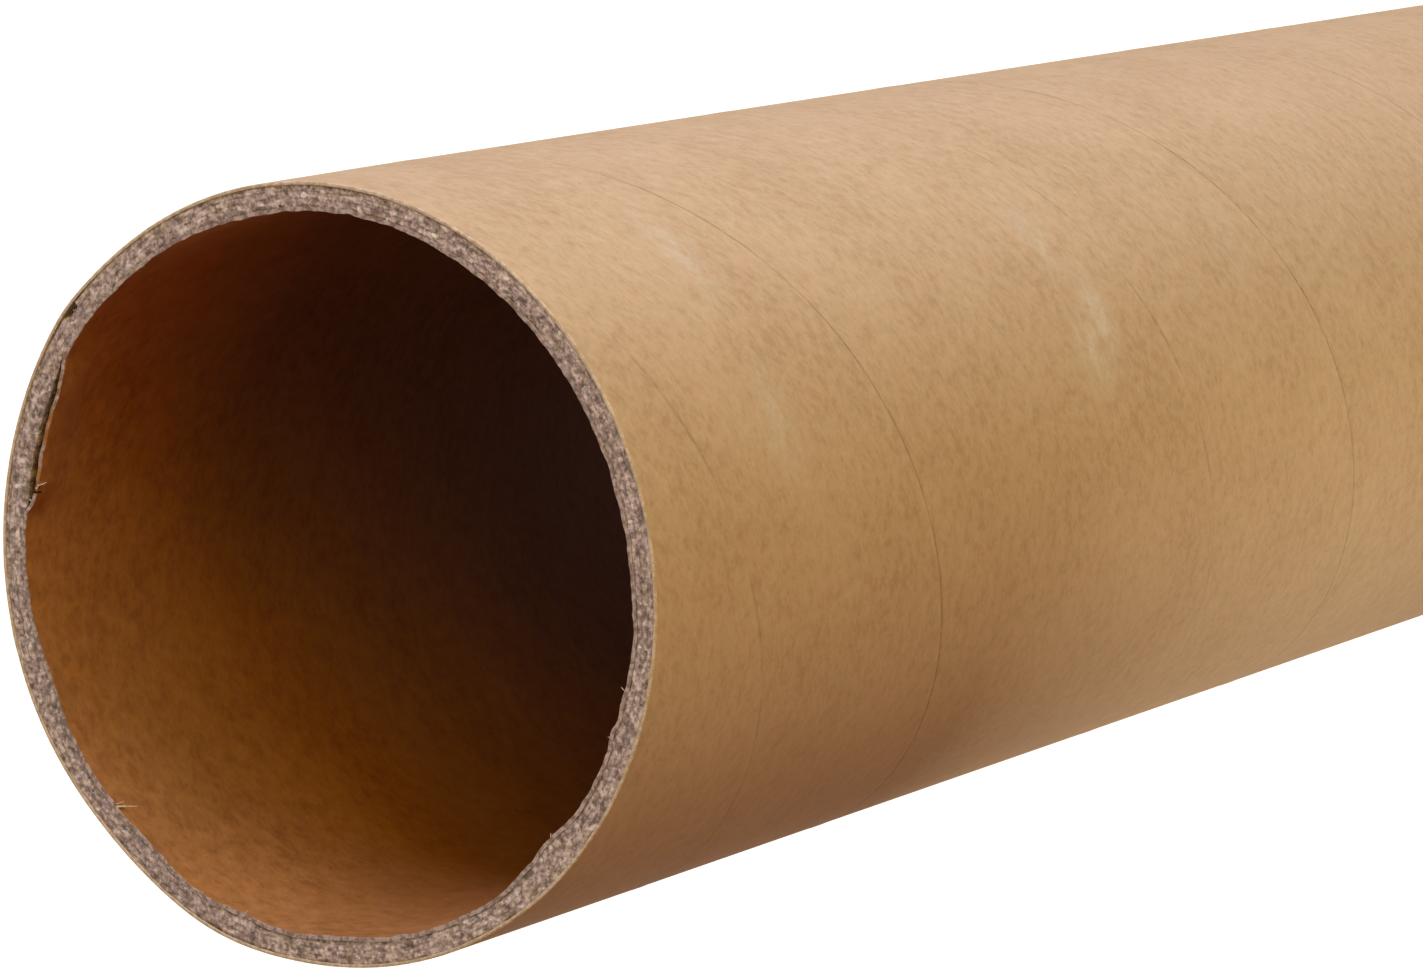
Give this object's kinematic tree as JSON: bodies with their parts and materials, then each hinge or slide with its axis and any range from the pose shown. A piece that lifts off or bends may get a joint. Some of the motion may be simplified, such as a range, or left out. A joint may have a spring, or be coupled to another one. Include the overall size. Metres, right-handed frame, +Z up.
{
  "type": "cardboard mailing tube",
  "caption": "Spiral-wound cardboard tube with a kraft wrap, open at both ends, for posting and storing rolled sheets.",
  "frame": {"origin": "centre of the square-cut lower end, on the surface that the tube stands on", "axes": "+Z up the tube's axis to the worn mouth; the liner has let go at the mouth between +X and +Y"},
  "size_m": [0.0822, 0.0822, 0.61],
  "materials": {
    "kraft_wrap": "matte",
    "chipboard": "matte",
    "kraft_liner": "matte"
  },
  "bodies": {
    "root": {"outer_kraft_wrap": "kraft_wrap", "chipboard_body": "chipboard", "inner_kraft_liner": "kraft_liner"}
  },
  "joints": []
}
